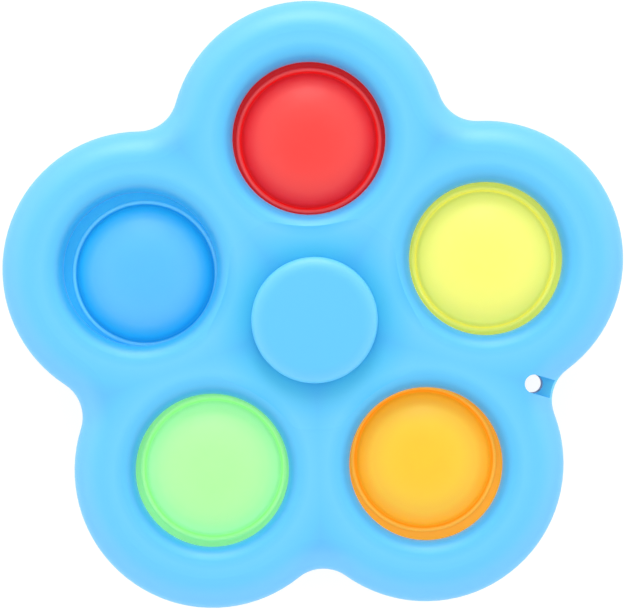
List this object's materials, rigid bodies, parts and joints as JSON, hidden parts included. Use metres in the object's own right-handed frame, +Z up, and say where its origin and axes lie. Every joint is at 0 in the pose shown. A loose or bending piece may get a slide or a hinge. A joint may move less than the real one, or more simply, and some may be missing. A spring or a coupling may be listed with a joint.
{
  "type": "bubble pop fidget toy",
  "caption": "Flower-shaped fidget spinner: a two-half shell on a ball bearing with finger caps, a silicone pop bubble in each round lobe, and a small key ring hole.",
  "frame": {"origin": "middle of the back cap's flat face, on which the toy lies", "axes": "+Z up along the spin axis towards the front cap, +Y towards the lobe of the red bubble"},
  "size_m": [0.1, 0.0972, 0.0188],
  "materials": {
    "shell_plastic": "satin",
    "cap_plastic": "satin",
    "ring_steel": "ground",
    "shield_steel": "rolled",
    "ball_steel": "polished",
    "cage_plastic": "moulded",
    "red_silicone": "translucent satin",
    "yellow_silicone": "translucent satin",
    "orange_silicone": "translucent satin",
    "green_silicone": "translucent satin",
    "blue_silicone": "translucent satin"
  },
  "bodies": {
    "hub": {"front_cap": "cap_plastic", "back_cap": "cap_plastic", "bearing_inner_ring": "ring_steel"},
    "flower": {"front_shell": "shell_plastic", "back_shell": "shell_plastic", "bearing_outer_ring": "ring_steel", "front_shield": "shield_steel", "back_shield": "shield_steel"},
    "ball_set": {"bearing_cage": "cage_plastic", "bearing_ball_1": "ball_steel", "bearing_ball_2": "ball_steel", "bearing_ball_3": "ball_steel", "bearing_ball_4": "ball_steel", "bearing_ball_5": "ball_steel", "bearing_ball_6": "ball_steel", "bearing_ball_7": "ball_steel"},
    "red_dome": {"red_bubble": "red_silicone"},
    "blue_dome": {"blue_bubble": "blue_silicone"},
    "green_dome": {"green_bubble": "green_silicone"},
    "orange_dome": {"orange_bubble": "orange_silicone"},
    "yellow_dome": {"yellow_bubble": "yellow_silicone"}
  },
  "joints": [
    {"name": "flower_spin", "type": "hinge", "parent": "hub", "child": "flower", "pos_m": [0, 0, 0.0094], "axis": [0, 0, 1], "continuous": true},
    {"name": "ball_set_spin", "type": "hinge", "parent": "hub", "child": "ball_set", "pos_m": [0, 0, 0.0094], "axis": [0, 0, 1], "continuous": true},
    {"name": "red_pop", "type": "slide", "parent": "flower", "child": "red_dome", "axis": [0, 0, -1], "range_m": [0, 0.0102], "deforming": ["red_bubble"]},
    {"name": "blue_pop", "type": "slide", "parent": "flower", "child": "blue_dome", "axis": [0, 0, -1], "range_m": [0, 0.0102], "deforming": ["blue_bubble"]},
    {"name": "green_pop", "type": "slide", "parent": "flower", "child": "green_dome", "axis": [0, 0, -1], "range_m": [0, 0.0102], "deforming": ["green_bubble"]},
    {"name": "orange_pop", "type": "slide", "parent": "flower", "child": "orange_dome", "axis": [0, 0, -1], "range_m": [0, 0.0102], "deforming": ["orange_bubble"]},
    {"name": "yellow_pop", "type": "slide", "parent": "flower", "child": "yellow_dome", "axis": [0, 0, -1], "range_m": [0, 0.0102], "deforming": ["yellow_bubble"]}
  ],
  "couplings": [
    {"joint": "ball_set_spin", "follows": "flower_spin", "ratio": 0.63233}
  ]
}
